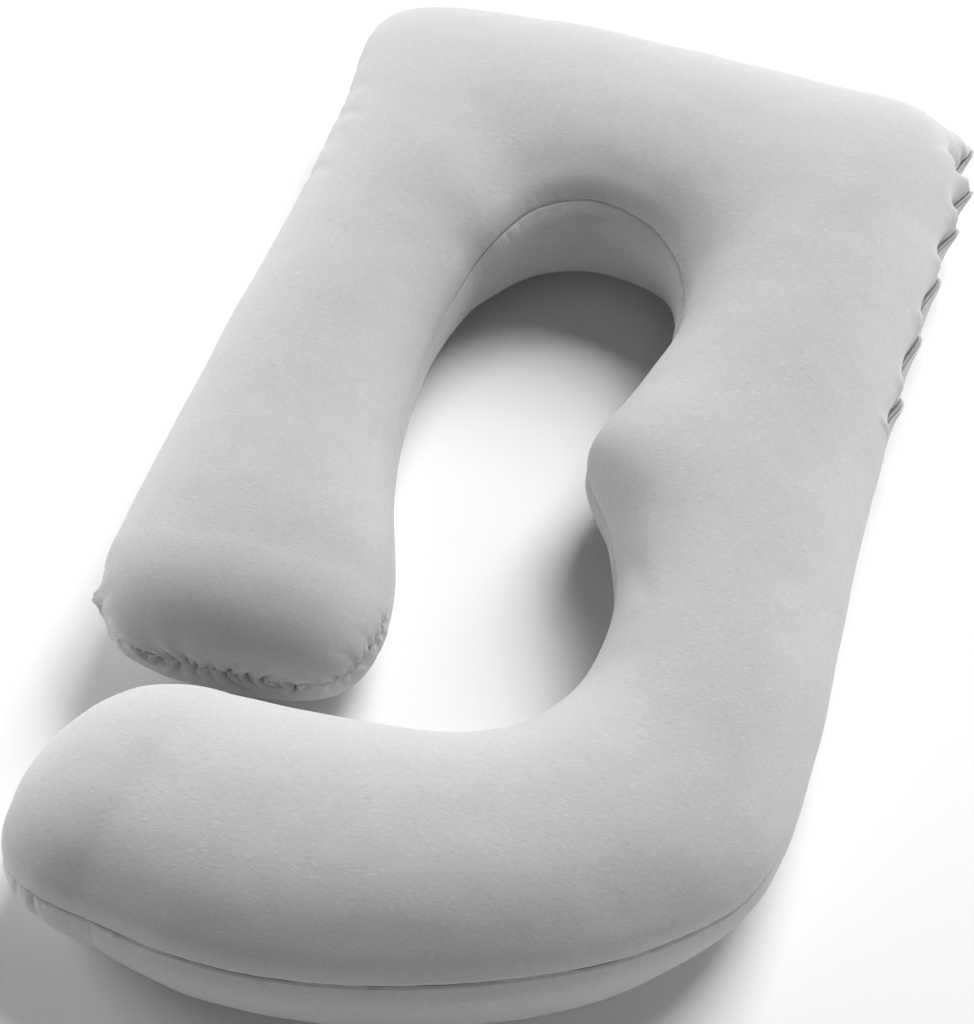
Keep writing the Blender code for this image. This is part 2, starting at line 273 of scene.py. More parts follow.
def ease(t):
    """A smooth rise from 0 to 1 as t goes from 0 to 1."""
    t = np.clip(t, 0, 1)
    return t * t * (3 - 2 * t)


def closed(values):
    """The same values where the grid meets itself: at its side and at both end seams."""
    values[:, -1] = values[:, 0]
    values[[0, -1]] = values[[0, -1]][:, mirror_loop]
    return values


# The zip holds its side seam short, so the cover stands out in flaps between its tucks. Along a
# fold, in shares of its length, the flap dies out, the tuck deepens, and the seam then turns back
# out to the next flap.
Fold = namedtuple("Fold", "tip_y stand tuck reach")
ZIP_FOLDS = (
    Fold(0.672, 0.017, 0.033, 0.060),
    Fold(0.605, 0.014, 0.027, 0.030),
    Fold(0.532, 0.009, 0.024, 0.022),
    Fold(0.440, 0.004, 0.017, 0.021),
    Fold(0.340, 0.002, 0.013, 0.021),
    Fold(0.236, 0.003, 0.014, 0.020),
    Fold(0.160, 0.000, 0.000, 0.020),
)
FLAP_SHARE = 0.40
TUCK_START, TUCK_SHARE = 0.02, 0.80
TURN_START, TURN_SHARE = 0.86, 0.14
LEAD_IN = 0.050                           # of the first flap round the corner
FOLD_LIFT, LIFT_SHARE = 0.008, 0.6        # of the seam where it is tucked in
LIFT_REACH = 0.030
FOLD_OVERHANG, OVERHANG_SHARE = 0.0035, 0.14  # of the upper panel over the end of a tuck
OVERHANG_HEIGHT, OVERHANG_REACH = 0.030, 0.016
UNDERHANG = 0.3                           # share of that in the lower panel
LEAN, LEAN_REACH = 0.75, 0.013            # of the zip's face, turned up to the upper panel
Hollow = namedtuple("Hollow", "x y depth width height reach")
HOLLOWS = (                               # in the upper panel, above the first flaps
    Hollow(0.394, 0.618, 0.016, 0.055, 0.045, 0.028),
    Hollow(0.380, 0.684, 0.010, 0.045, 0.042, 0.022),
    Hollow(0.384, 0.682, 0.020, 0.045, 0.084, 0.036),
)
ZIP_BOTTOM, BOTTOM_FADE = 0.172, 0.012    # where the zip ends, in plan
TOP_FADE = 0.010                          # of its other end, at the corner

corner = np.argmax(station_outer.sum(axis=1))
past_corner = outer_run[corner, 0] - outer_run[:, 0]
on_zip_side = (past_corner > -2 * TOP_FADE) & (station_outer[:, 1] > 0)
zip_y = np.where(on_zip_side & (past_corner >= 0), station_outer[:, 1], -1)
stand, tuck, bulge, lift = (np.zeros(len(stations)) for _ in range(4))
reach = np.full(len(stations), ZIP_FOLDS[-1].reach)
for fold, following in zip(ZIP_FOLDS, ZIP_FOLDS[1:]):
    inside = (zip_y <= fold.tip_y) & (zip_y > following.tip_y)
    t = (fold.tip_y - zip_y[inside]) / (fold.tip_y - following.tip_y)
    turned = ease((t - TURN_START) / TURN_SHARE)
    stand[inside] = fold.stand * (1 - ease(t / FLAP_SHARE)) + following.stand * turned
    tuck[inside] = fold.tuck * ease((t - TUCK_START) / TUCK_SHARE) * (1 - turned)
    lift[inside] = FOLD_LIFT * ease(t / LIFT_SHARE) * (1 - turned)
    reach[inside] = fold.reach + (following.reach - fold.reach) * ease((t - 0.6) / 0.4)
    bulge[inside] = FOLD_OVERHANG * np.exp(-((t - 0.97) / OVERHANG_SHARE) ** 2)
    if fold is not ZIP_FOLDS[0]:
        bulge[inside] += FOLD_OVERHANG * np.exp(-((t + 0.03) / OVERHANG_SHARE) ** 2)

# The first flap begins on the head bar and swells out round the corner to its tip.
first = ZIP_FOLDS[0]
ahead = past_corner[np.argmax(stand)] - past_corner
lead_in = (ahead > 0) & (ahead < 3 * LEAD_IN)
stand[lead_in] = first.stand * np.exp(-(ahead[lead_in] / LEAD_IN) ** 2)
reach[lead_in] = first.reach
upper_share = 0.5 + 0.5 * np.tanh(np.where(on_upper, from_outer, -from_outer) / 0.008)
shoulder = np.exp(-((from_outer - OVERHANG_HEIGHT) / OVERHANG_REACH) ** 2)
shoulder = shoulder * np.where(on_upper, 1, UNDERHANG)
near_seam = np.exp(-(from_outer / (reach[:, None] * (0.8 + 0.4 * upper_share))) ** 2)
push = (stand[:, None] - tuck[:, None] * (0.7 + 0.5 * upper_share)) * near_seam
push = push + bulge[:, None] * shoulder
for hollow in HOLLOWS:
    away = np.hypot(*(station_outer - (hollow.x, hollow.y)).T)[:, None]
    level = (from_outer - hollow.height) / hollow.reach
    push -= hollow.depth * np.exp(-(away / hollow.width) ** 2 - level ** 2) * on_upper
zip_share = ease((station_outer[:, 1] - ZIP_BOTTOM) / BOTTOM_FADE)
zip_share = zip_share * ease((past_corner + TOP_FADE) / TOP_FADE)
zip_share = (zip_share * on_zip_side)[:, None] * (from_outer < from_inner)
lean = zip_share * LEAN * from_outer * np.exp(-(from_outer / LEAN_REACH) ** 2)
push += lean * np.where(on_upper, -1, 1)

# Two corners of the seam stand out in points.
Ear = namedtuple("Ear", "x y reach")
EARS = (Ear(-0.372, -0.322, 0.014), Ear(0.388, 0.672, 0.012))
EAR_WIDTH, EAR_HEIGHT = 0.014, 0.012
for ear in EARS:
    away = np.hypot(skin[:, 0, 0] + MIDDLE[0] - ear.x, skin[:, 0, 1] + MIDDLE[1] - ear.y)
    point = ear.reach * np.exp(-(away / EAR_WIDTH) ** 2)
    push += point[:, None] * np.exp(-(from_outer / EAR_HEIGHT) ** 2)
skin = skin + outward[:, None] * closed(push)[..., None]
skin[..., 2] += lift[:, None] * np.exp(-(from_outer / LIFT_REACH) ** 2)

# Gathers: the cloth is sewn in fuller than the seam is long, so it dips beside the seam and puffs
# out between the dips. There are many at the short end and a few along the other seams.
Gather = namedtuple("Gather", "run depth width length slant")
Gathering = namedtuple("Gathering", "start finish pitch least_depth most_depth length "
                                    "least_slant most_slant")
GATHER_WIDTHS = (0.0020, 0.0032)          # least and most half width at the seam
GATHER_SPREAD = 0.14                      # of the width with the distance from the seam
GATHER_RAISE = 0.8                        # how far the cloth rises beside a dip
STITCH_HOLD, STITCH_SHARE = 0.003, 0.35   # the stitches keep a dip shallow at the seam
end_length, whole_run = upper_place[0, -1], -outer_run[-1, 0]
UPPER_GATHERINGS = (
    Gathering(0.0, end_length, 0.0120, 0.0045, 0.0125, 0.017, -0.30, 0.30),
    Gathering(-0.12, 0.0, 0.0115, 0.0025, 0.0060, 0.012, -0.30, 0.30),
    Gathering(end_length, end_length + 0.15, 0.0115, 0.0025, 0.0065, 0.012, -0.30, 0.30),
    Gathering(-whole_run - 0.15, -0.12, 0.026, 0.0003, 0.0010, 0.010, -0.45, 0.45),
    Gathering(end_length + 0.15, end_length + 2.40, 0.026, 0.0002, 0.0008, 0.010, -0.45, 0.45),
)
LOWER_GATHERINGS = (
    Gathering(0.0, end_length, 0.0125, 0.0050, 0.0130, 0.026, 0.10, 0.70),
    Gathering(-0.12, 0.0, 0.0125, 0.0020, 0.0050, 0.016, 0.00, 0.50),
    Gathering(end_length, end_length + 0.15, 0.0125, 0.0020, 0.0050, 0.016, 0.00, 0.50),
    Gathering(-whole_run - 0.15, -0.12, 0.024, 0.0003, 0.0012, 0.012, -0.60, 0.60),
    Gathering(end_length + 0.15, end_length + 2.40, 0.022, 0.0003, 0.0012, 0.010, -0.45, 0.45),
)


def sewn_gathers(seed, gatherings):
    """Uneven gathers along stretches of seam, each with its own depth, length and slant."""
    chance = np.random.default_rng(seed)
    made = []
    for stretch in gatherings:
        run = stretch.start
        while run < stretch.finish:
            made.append(Gather(run, chance.uniform(stretch.least_depth, stretch.most_depth),
                               chance.uniform(*GATHER_WIDTHS),
                               stretch.length * chance.uniform(0.6, 1.5),
                               chance.uniform(stretch.least_slant, stretch.most_slant)))
            run += stretch.pitch * chance.uniform(0.5, 1.5)
    return made


def dips_of(gathers, side):
    """Depth of the dips that gathers make in one panel, with the cloth raised beside them."""
    depth = np.zeros(seam_gap.shape)
    for gather in gathers:
        drift = seam_run - gather.run - gather.slant * seam_gap
        near = side & (np.abs(drift) < 0.03) & (seam_gap < 3 * gather.length)
        gap = seam_gap[near]
        across = (drift[near] / (gather.width + GATHER_SPREAD * gap)) ** 2
        freed = STITCH_SHARE + (1 - STITCH_SHARE) * ease(gap / STITCH_HOLD)
        fade = np.exp(-(gap / gather.length) ** 1.4) * freed
        depth[near] += gather.depth * (1 - GATHER_RAISE * across) * np.exp(-across) * fade
    return depth


def facing(points):
    """Outward directions of the grid."""
    ring = np.concatenate([points[:, -2:-1], points, points[:, 1:2]], axis=1)
    normals = np.cross(ring[:, 2:] - ring[:, :-2], np.gradient(points, axis=0))
    normals /= np.maximum(np.linalg.norm(normals, axis=2), 1e-12)[..., None]
    normals *= np.sign(normals[len(stations) // 2, PANEL_FACES // 2, 2])
    normals[0] = np.append(station_along[0], 0)
    normals[-1] = np.append(station_along[-1], 0)
    return normals


# Kinks of the seam, each at a place in plan, where it rises and a fold runs on into a panel.
Kink = namedtuple("Kink", "x y rise width fold fold_width fold_length slant upper")
KINKS = (
    Kink(-0.312, -0.655, 0.0030, 0.0050, 0.0030, 0.0030, 0.030, 0.00, False),
    Kink(-0.289, -0.668, 0.0034, 0.0045, 0.0050, 0.0034, 0.045, 0.05, False),
    Kink(-0.222, -0.681, 0.0016, 0.0060, 0.0036, 0.0040, 0.045, 0.00, False),
    Kink(-0.192, -0.689, 0.0000, 0.0050, -0.0016, 0.0025, 0.020, 0.00, False),
    Kink(-0.386, 0.560, 0.0010, 0.0060, 0.0065, 0.0030, 0.050, 0.10, True),
    Kink(-0.388, 0.515, -0.0010, 0.0060, 0.0070, 0.0030, 0.050, 0.15, True),
    Kink(-0.389, 0.455, 0.0010, 0.0060, 0.0070, 0.0032, 0.055, 0.20, True),
    Kink(-0.389, 0.400, -0.0010, 0.0060, 0.0055, 0.0034, 0.060, 0.25, True),
    Kink(-0.389, 0.350, 0.0008, 0.0060, 0.0035, 0.0036, 0.060, 0.30, True),
)


def kink_run(kink):
    """Run along the seam of the place that is nearest to a kink."""
    away = np.hypot(skin[..., 0] - kink.x, skin[..., 1] - kink.y) + 10 * (seam_gap > 0.0001)
    return seam_run.ravel()[np.argmin(away)]


upper_side = np.broadcast_to(on_upper, seam_gap.shape)
dips = dips_of(sewn_gathers(11, UPPER_GATHERINGS), upper_side)
dips += dips_of(sewn_gathers(23, LOWER_GATHERINGS), ~upper_side)
for kink in KINKS:
    fold = Gather(kink_run(kink), kink.fold, kink.fold_width, kink.fold_length, kink.slant)
    dips += dips_of([fold], upper_side if kink.upper else ~upper_side)

# The crease of the seam, the puff of cloth beside it, and the seam's own unevenness in height.
CREASE_DEPTH, CREASE_NARROW, CREASE_WIDE = 0.0018, 0.0018, 0.008
PUFF_HEIGHT, PUFF_PLACE, PUFF_WIDTH = 0.0014, 0.026, 0.014
WAVER_REACH = 0.010
crease = CREASE_DEPTH * np.exp(-(seam_gap / CREASE_NARROW) ** 2)
crease += CREASE_DEPTH * np.exp(-(seam_gap / CREASE_WIDE) ** 1.5)
puff = PUFF_HEIGHT * np.exp(-((seam_gap - PUFF_PLACE) / PUFF_WIDTH) ** 2)
skin = skin - facing(skin) * closed((dips + crease) * (1 - zip_share) - puff)[..., None]
waver = 0.0011 * np.sin(seam_run / 0.0069 + 1.7 * np.sin(seam_run / 0.031))
waver += 0.0008 * np.sin(seam_run / 0.0171 + 2)
waver *= 0.25 + 0.75 * at_short_end
for kink in KINKS:
    waver += kink.rise * np.exp(-((seam_run - kink_run(kink)) / kink.width) ** 2)
skin[..., 2] += closed(waver * np.exp(-(seam_gap / WAVER_REACH) ** 2) * (1 - zip_share))

# The filling blows the cover up between its seams, and the spare cloth wrinkles. It is worked
# out as cloth under pressure on a lighter grid, which has every second station and fewer loops
# at the seams. It is held at the seams, round the zip and where it lies on the ground.
SWELL_FRAMES = 20
SWELL_LIMIT = 0.007                       # no point moves further
SWELL_SHARE = 0.2                         # of the movement that is kept on the body
WRINKLE_SHARE = 0.65                      # the same at the short end's seam
WRINKLE_REACH = 0.09                      # of the short end's wrinkles from its seam
WRINKLE_LEAST = 0.10                      # share of the small wrinkles kept elsewhere
PRESSURE = 5
SPARE_CLOTH, SPARE_REACH = 0.12, 0.035    # let out at the short end's seam
SPARE_LEAST = 0.03                        # share of that at the other seams
SEAM_HOLD = 0.022                         # reach of the seam's hold on the cloth beside it
ZIP_HOLD = 0.05                           # the same of the zip
GROUND_HOLD = 0.004                       # below this height the cloth lies still
EVENING = 30                              # times the movement is averaged with its neighbours
NEAR_LOOPS, FIRST_FAR_LOOP = (0, 5, 8, 10), 12


def grid_cells(mesh, columns, rows):
    """Column and row of every point of a new grid with so many faces each way."""
    lie = np.empty(len(mesh.vertices) * 3)
    mesh.vertices.foreach_get("co", lie)
    column = np.rint((lie[0::3] + 0.5) * columns).astype(int)
    row = np.rint((lie[1::3] + 0.5) * rows).astype(int)
    return column, row


across = [*NEAR_LOOPS, *range(FIRST_FAR_LOOP, PANEL_FACES - FIRST_FAR_LOOP + 1),
          *(PANEL_FACES - loop for loop in NEAR_LOOPS[:0:-1])]
light_loops = np.array([*across, PANEL_FACES, *(loops - loop for loop in across[:0:-1])])
light_rows = np.flatnonzero((station_share < 1) | (np.arange(len(stations)) % 2 == 0))
bpy.ops.mesh.primitive_grid_add(x_subdivisions=len(light_loops),
                                y_subdivisions=len(light_rows) - 1, size=1)
bag = bpy.context.object
column, row = grid_cells(bag.data, len(light_loops), len(light_rows) - 1)
cell = light_rows[row] * (loops + 1) + light_loops[column % len(light_loops)]
bag.data.vertices.foreach_set("co", skin.reshape(-1, 3)[cell].ravel())
bag.data.attributes.new("cell", "INT", "POINT").data.foreach_set("value", cell)
bpy.ops.object.mode_set(mode="EDIT")
bpy.ops.mesh.select_all(action="SELECT")
bpy.ops.mesh.remove_doubles(threshold=0.00001)
bpy.ops.mesh.normals_make_consistent(inside=False)
bpy.ops.object.mode_set(mode="OBJECT")
cell = np.empty(len(bag.data.vertices), dtype=int)
bag.data.attributes["cell"].data.foreach_get("value", cell)
before = skin.reshape(-1, 3)[cell]
by_zip = on_zip_side[:, None] & (from_outer < ZIP_HOLD) & (from_outer < from_inner)
held = (seam_gap.ravel()[cell] < 0.001) | (before[:, 2] < GROUND_HOLD) | by_zip.ravel()[cell]
spare = np.exp(-(seam_gap / SPARE_REACH) ** 2)
spare = spare * (SPARE_LEAST + (1 - SPARE_LEAST) * at_short_end)
for name, weights in (("held", held.astype(float)), ("spare", spare.ravel()[cell])):
    group = bag.vertex_groups.new(name=name)
    for index in np.flatnonzero(weights > 0.01):
        group.add([int(index)], float(weights[index]), "REPLACE")
cloth = bag.modifiers.new("Cloth", "CLOTH").settings
cloth.quality = 6
cloth.mass = 0.05
cloth.bending_stiffness = 0.1
cloth.use_pressure = True
cloth.uniform_pressure_force = PRESSURE
cloth.effector_weights.gravity = 0
cloth.vertex_group_mass = "held"
cloth.vertex_group_shrink = "spare"
cloth.shrink_max = -SPARE_CLOTH
for number in range(1, SWELL_FRAMES + 1):
    bpy.context.scene.frame_set(number)
bpy.ops.object.modifier_apply(modifier="Cloth")
after = np.empty(len(cell) * 3)
bag.data.vertices.foreach_get("co", after)
bpy.context.scene.frame_set(1)
bpy.data.objects.remove(bag)

# The movement is carried over to the whole grid. Where two points of an end seam merged into
# one, both get its movement.
moved = np.full((skin.shape[0] * skin.shape[1], 3), np.nan)
moved[cell] = after.reshape(-1, 3) - before
moved = moved.reshape(skin.shape)
for end in (0, -1):
    lost = np.isnan(moved[end, :, 0])
    moved[end, lost] = moved[end, ::-1][lost]
moved[:, loops] = moved[:, 0]
light_loops = np.append(light_loops, loops)
round_body = np.where(on_upper, from_outer, span[:, :1] + from_inner)
for index in light_rows:
    for axis in range(3):
        moved[index, :, axis] = np.interp(round_body[index], round_body[index, light_loops],
                                          moved[index, light_loops, axis])
left_out = np.setdiff1d(np.arange(len(stations)), light_rows)
moved[left_out] = (moved[left_out - 1] + moved[left_out + 1]) / 2

# Only the short end keeps its small wrinkles; the rest is well filled and swells smoothly.
smooth = moved
for _ in range(EVENING):
    smooth = (np.roll(smooth, 1, axis=1) + 2 * smooth + np.roll(smooth, -1, axis=1)) / 4
    evened = (smooth[:-2] + 2 * smooth[1:-1] + smooth[2:]) / 4
    smooth = np.concatenate([smooth[:1], evened, smooth[-1:]])
wrinkled = np.exp(-(from_short_end / WRINKLE_REACH) ** 2)[..., None]
moved = smooth + (moved - smooth) * (WRINKLE_LEAST + (1 - WRINKLE_LEAST) * wrinkled)
share = SWELL_SHARE + (WRINKLE_SHARE - SWELL_SHARE) * wrinkled
moved *= share * ease(seam_gap / SEAM_HOLD)[..., None]
moved[:, -1] = moved[:, 0]
far = np.maximum(np.linalg.norm(moved, axis=2, keepdims=True), 1e-9)
skin = skin + moved * SWELL_LIMIT * np.tanh(far / SWELL_LIMIT) / far

# At the zip each panel ends in a folded and stitched lip beside a channel for the tapes.
Lip = namedtuple("Lip", "away height")
LIP = (Lip(0.0, -0.0030), Lip(0.0028, -0.0030), Lip(0.0036, -0.0018), Lip(0.0044, 0.0002),
       Lip(0.0054, 0.0009), Lip(0.0068, 0.0007), Lip(0.0086, -0.0004), Lip(0.011, 0.0003),
       Lip(0.014, 0.0), Lip(0.018, 0.0))
lip = np.interp(from_outer, [step.away for step in LIP], [step.height for step in LIP])
relief = lip * zip_share

# Drag lines in the upper panel: where each runs in plan, its depth and its half width.
Drag = namedtuple("Drag", "x0 y0 x1 y1 depth width")
DRAGS = (
    Drag(0.150, -0.100, 0.205, -0.190, 0.0016, 0.010),
    Drag(0.130, -0.050, 0.180, -0.150, 0.0012, 0.012),
    Drag(0.372, -0.040, 0.330, -0.150, 0.0012, 0.011),
    Drag(0.376, -0.110, 0.335, -0.220, 0.0010, 0.011),
    Drag(-0.382, 0.430, -0.330, 0.400, 0.0012, 0.006),
    Drag(-0.384, 0.400, -0.335, 0.362, 0.0010, 0.006),
    Drag(-0.384, 0.470, -0.340, 0.455, 0.0010, 0.006),
    Drag(-0.384, 0.340, -0.338, 0.300, 0.0009, 0.007),
    Drag(0.360, 0.664, 0.398, 0.650, 0.0030, 0.007),
)
for drag in DRAGS:
    run = np.array((drag.x1 - drag.x0, drag.y1 - drag.y0))
    length = np.linalg.norm(run)
    run = run / length
    away = skin[..., :2] - np.array((drag.x0, drag.y0))
    t = np.clip((away @ run) / length, -0.3, 1.3)
    side = away @ np.array((-run[1], run[0]))
    trough = upper_side * drag.depth * np.exp(-(side / drag.width) ** 2)
    relief -= trough * np.exp(-((t - 0.5) / 0.45) ** 4)


def lumps(points, size, seed):
    """Smooth unevenness of the filling at one size."""
    shift = Vector((seed, 2.3 * seed, -seed))
    flat = [noise.noise(Vector(point) / size + shift) for point in points.reshape(-1, 3)]
    return np.array(flat).reshape(points.shape[:2])


# The filling lies in large and small lumps, and none show where the cover lies on the ground.
LARGE_LUMP, LARGE_RISE = 0.11, 0.0016
SMALL_LUMP, SMALL_RISE = 0.035, 0.0005
LUMPS_FROM = 0.03                         # height at which the lumps are whole
uneven = LARGE_RISE * lumps(skin, LARGE_LUMP, 3.1) + SMALL_RISE * lumps(skin, SMALL_LUMP, 7.7)
relief += uneven * np.clip(skin[..., 2] / LUMPS_FROM, 0, 1)
skin = skin + facing(skin) * closed(relief)[..., None]
skin[..., 2] = np.maximum(skin[..., 2], 0)

# A grid of cloth is wrapped round the stations, each panel mapped as it lies when cut flat, and
# then closed at the seams.
bpy.ops.mesh.primitive_grid_add(x_subdivisions=loops, y_subdivisions=len(stations) - 1, size=1)
pillow = bpy.context.object
pillow.name = "pillow_cover"
mesh = pillow.data
column, row = grid_cells(mesh, loops, len(stations) - 1)
mesh.vertices.foreach_set("co", skin[row, column].ravel())

# The material reads how far each point is from its seam and along it, and how far it belongs to
# the zip, to the stretched seam inside the head bar's bend, to the gathered end and to a dip; the
# dip's depth darkens the colour as painted shade.
BEND_X, BEND_REACH, BEND_FROM_Y = 0.02, 0.07, 0.2
DEEPEST_DIP = 0.010
in_u = np.exp(-((skin[..., 0] - BEND_X) / BEND_REACH) ** 2) * (skin[..., 1] > BEND_FROM_Y)
marks = {"seam_gap": seam_gap, "seam_run": seam_run, "at_zip": zip_share + 0 * seam_gap,
         "in_u": in_u * (from_inner < from_outer), "gathered": at_short_end,
         "deep": np.clip(dips / DEEPEST_DIP, 0, 1)}
for name, values in marks.items():
    mesh.attributes.new(name, "FLOAT", "POINT").data.foreach_set("value", values[row, column])

cloth_map = mesh.uv_layers[0]
cloth_map.name = "cloth"
corners = np.empty(len(mesh.loops), dtype=int)
mesh.loops.foreach_get("vertex_index", corners)
under = np.repeat(column[corners].reshape(-1, 4).max(axis=1) > PANEL_FACES, 4)
flat = np.where(under[:, None], lower_flat[row[corners], column[corners]],
                upper_flat[row[corners], column[corners]])
cloth_map.data.foreach_set("uv", flat.ravel())
bpy.ops.object.mode_set(mode="EDIT")
bpy.ops.mesh.select_all(action="SELECT")
bpy.ops.mesh.remove_doubles(threshold=0.00001)
bpy.ops.mesh.normals_make_consistent(inside=False)
bpy.ops.object.mode_set(mode="OBJECT")
bpy.ops.object.shade_smooth()


class Socket:
    """One output of a material's nodes; sums and products of it add their Math nodes."""

    def __init__(self, tree, socket):
        self.tree = tree
        self.socket = socket

    def node(self, kind, settings, inputs, output=0):
        """A node of a kind: its settings first, then the values or links of its inputs."""
        made = self.tree.nodes.new("ShaderNode" + kind)
        for name, value in settings.items():
            setattr(made, name, value)
        for name, value in inputs.items():
            if isinstance(value, Socket):
                self.tree.links.new(value.socket, made.inputs[name])
            else:
                made.inputs[name].default_value = value
        return Socket(self.tree, made.outputs[output])

    def math(self, operation, *values):
        return self.node("Math", {"operation": operation}, dict(enumerate(values)))

    def __add__(self, other):
        return self.math("ADD", self, other)

    def __sub__(self, other):
        return self.math("SUBTRACT", self, other)

    def __rsub__(self, other):
        return self.math("SUBTRACT", other, self)

    def __mul__(self, other):
        return self.math("MULTIPLY", self, other)

    __radd__ = __add__
    __rmul__ = __mul__

    def scaled(self, x, y, z):
        return self.node("VectorMath", {"operation": "MULTIPLY"}, {0: self, 1: (x, y, z)})

    def shifted(self, other):
        return self.node("VectorMath", {"operation": "ADD"}, {0: self, 1: other})

    def noise(self, detail, rough=0.5):
        return self.node("TexNoise", {"noise_dimensions": "3D"},
                         {"Vector": self, "Scale": 1.0, "Detail": detail, "Roughness": rough})

    def blend(self, first, second):
        """The first colour where this is 0, the second at 1; each a socket or three numbers."""
        colours = [it if isinstance(it, Socket) else (*it, 1) for it in (first, second)]
        return self.node("Mix", {"data_type": "RGBA"}, {0: self, 6: colours[0], 7: colours[1]}, 2)

    def ramp(self, low, high, to_low=0.0, to_high=1.0):
        return self.node("MapRange", {"interpolation_type": "SMOOTHSTEP"},
                         {"Value": self, "From Min": low, "From Max": high,
                          "To Min": to_low, "To Max": to_high})


def new_material(name, roughness, sheen):
    """A material with its shader and a first socket to build its pattern from."""
    material = bpy.data.materials.new(name)
    material.use_nodes = True
    tree = material.node_tree
    shader = tree.nodes["Principled BSDF"]
    shader.inputs["Roughness"].default_value = roughness
    shader.inputs["Sheen Weight"].default_value = sheen
    shader.inputs["Sheen Roughness"].default_value = 0.5
    shader.inputs["Specular IOR Level"].default_value = 0.25
    return material, tree, shader


STITCH_PITCH = 0.0026


def melange_jersey(name, light, dark, painted_shade, thread):
    """Light grey knitted jersey of mixed light and dark fibres, streaked along its courses, drawn
    into fine puckers by its sewing thread."""
    material, tree, shader = new_material(name, 0.92, 0.15)
    start = Socket(tree, None)
    cloth_place = start.node("UVMap", {"uv_map": "cloth"}, {})
    drift = start.node("TexNoise", {}, {"Vector": cloth_place.scaled(45, 45, 1),
                                        "Scale": 1.0, "Detail": 1.0}, 1)
    cloth_place = cloth_place.shifted(drift.scaled(0.0, 0.012, 0.0))
    streaks = cloth_place.scaled(130, 560, 1).noise(2.0, 0.5)
    hairs = cloth_place.scaled(300, 1500, 1).noise(1.0, 0.5)
    clouds = cloth_place.scaled(22, 40, 1).noise(2.0)
    pale_strokes = cloth_place.scaled(100, 640, 1).noise(0.5).ramp(0.62, 0.80)
    dark_strokes = cloth_place.scaled(95, 560, 3).noise(0.5).ramp(0.62, 0.80)
    tone = streaks * 0.5 + hairs * 0.35 + clouds * 0.15
    tone = tone.ramp(0.28, 0.72, 0.32, 0.68) + pale_strokes * 0.38 - dark_strokes * 0.32
    colour = tone.blend(dark, light)

    # The gathers' dips are darkened with painted shade, the seam is drawn as a thin line of painted
    # shade, and pale stitches show where the seam is stretched, painted partly as thread and partly
    # as the highlight along the seam's edge, and along the zip's lips.
    seam_gap, seam_run, at_zip, in_u, gathered, deep = (
        start.node("Attribute", {"attribute_name": mark}, {}, 2)
        for mark in ("seam_gap", "seam_run", "at_zip", "in_u", "gathered", "deep"))
    # Painted shade: the colour goes towards the darkest grey with the depth of a gather's dip.
    colour = (deep.ramp(0.05, 0.9) * 0.55).blend(colour, painted_shade)
    # Painted shade: a thin dark line in the seam's crease, darker and lighter in patches along it.
    tight = start.node("CombineXYZ", {}, {0: seam_run * 11, 1: seam_gap * 11}).noise(1.0)
    seam_line_shade = seam_gap.ramp(0.0003, 0.0012, 1.0, 0.0) * tight.ramp(0.38, 0.6, 0.15, 0.9)
    colour = (seam_line_shade * (1 - at_zip)).blend(colour, painted_shade)
    # The pale stitches inside the bend are painted partly as thread and partly as the highlight
    # along the seam's edge; those on the zip's lips are thread.
    stitch = (seam_run * (2 * math.pi / STITCH_PITCH)).math("SINE").ramp(-0.2, 0.1)
    seam_stitch_and_highlight = seam_gap.ramp(0.0012, 0.0017, 1.0, 0.0) * seam_gap.ramp(0.0003, 0.0007) * in_u
    on_lip = seam_gap.ramp(0.0074, 0.0077) * seam_gap.ramp(0.0083, 0.0086, 1.0, 0.0) * at_zip
    sewn = (seam_stitch_and_highlight * 0.8 + on_lip * 0.55) * stitch
    colour = sewn.blend(colour, thread)
    tree.links.new(colour.socket, shader.inputs["Base Color"])

    # The knit stands up in fine ribs, and the sewing draws it into puckers and longer pleats.
    mottle = cloth_place.scaled(130, 170, 1).noise(2.0, 0.6)
    height = hairs * 0.25 + streaks * 0.30 + mottle * 0.45
    knit = start.node("Bump", {}, {"Height": height, "Strength": 0.6, "Distance": 0.0007})
    puckers = start.node("CombineXYZ", {}, {0: seam_run * 190, 1: seam_gap * 45}).noise(2.0, 0.6)
    puckers = seam_gap.ramp(0.001, 0.010, 1.0, 0.0) * puckers * (0.35 + gathered * 0.65)
    slanted = {0: (seam_run - seam_gap * 0.6) * 95, 1: seam_gap * 20}
    pleats = start.node("CombineXYZ", {}, slanted).noise(1.0, 0.5)
    pleats = seam_gap.ramp(0.002, 0.032, 1.0, 0.0) * pleats * gathered * 2.0
    drawn_in = puckers + pleats + on_lip * stitch * 0.4
    bump = start.node("Bump", {}, {"Height": drawn_in, "Strength": 1.0, "Distance": 0.0022,
                                   "Normal": knit})
    tree.links.new(bump.socket, shader.inputs["Normal"])
    return material


# The darkest grey is painted shade in the dips and along the seam.
jersey = melange_jersey("melange_jersey", light=(0.59, 0.59, 0.59), dark=(0.40, 0.40, 0.40),
                        painted_shade=(0.10, 0.10, 0.10), thread=(0.78, 0.78, 0.78))
pillow.data.materials.clear()
pillow.data.materials.append(jersey)
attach(pillow, "root")
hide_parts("pillow")


# ---- The zip --------------------------------------------------------------------------------
# A long coil zip of nylon on two woven tapes, sewn between the lips of the upper and the lower
# panel in the long leg's side seam and closed. The cover shortened it into folds.

LIP_LOOP = 5                              # of the cover's loops, the one along a lip
TAPE_HALF, TAPE_THICK = 0.0046, 0.0005
TAPE_SINK = 0.0006                        # below the lips' own line
TOOTH_PITCH = 0.0016
TOOTH_LONG, TOOTH_WIDE, TOOTH_HIGH = 0.0011, 0.0026, 0.0013
TOOTH_BEVEL = 0.00035
TOOTH_SHIFT = 0.0010                      # of each row of the coil off the middle
TOOTH_TURN = 0.12                         # of its teeth, one row against the other
COIL_END = 0.004                          # from the end of the tapes to the first tooth


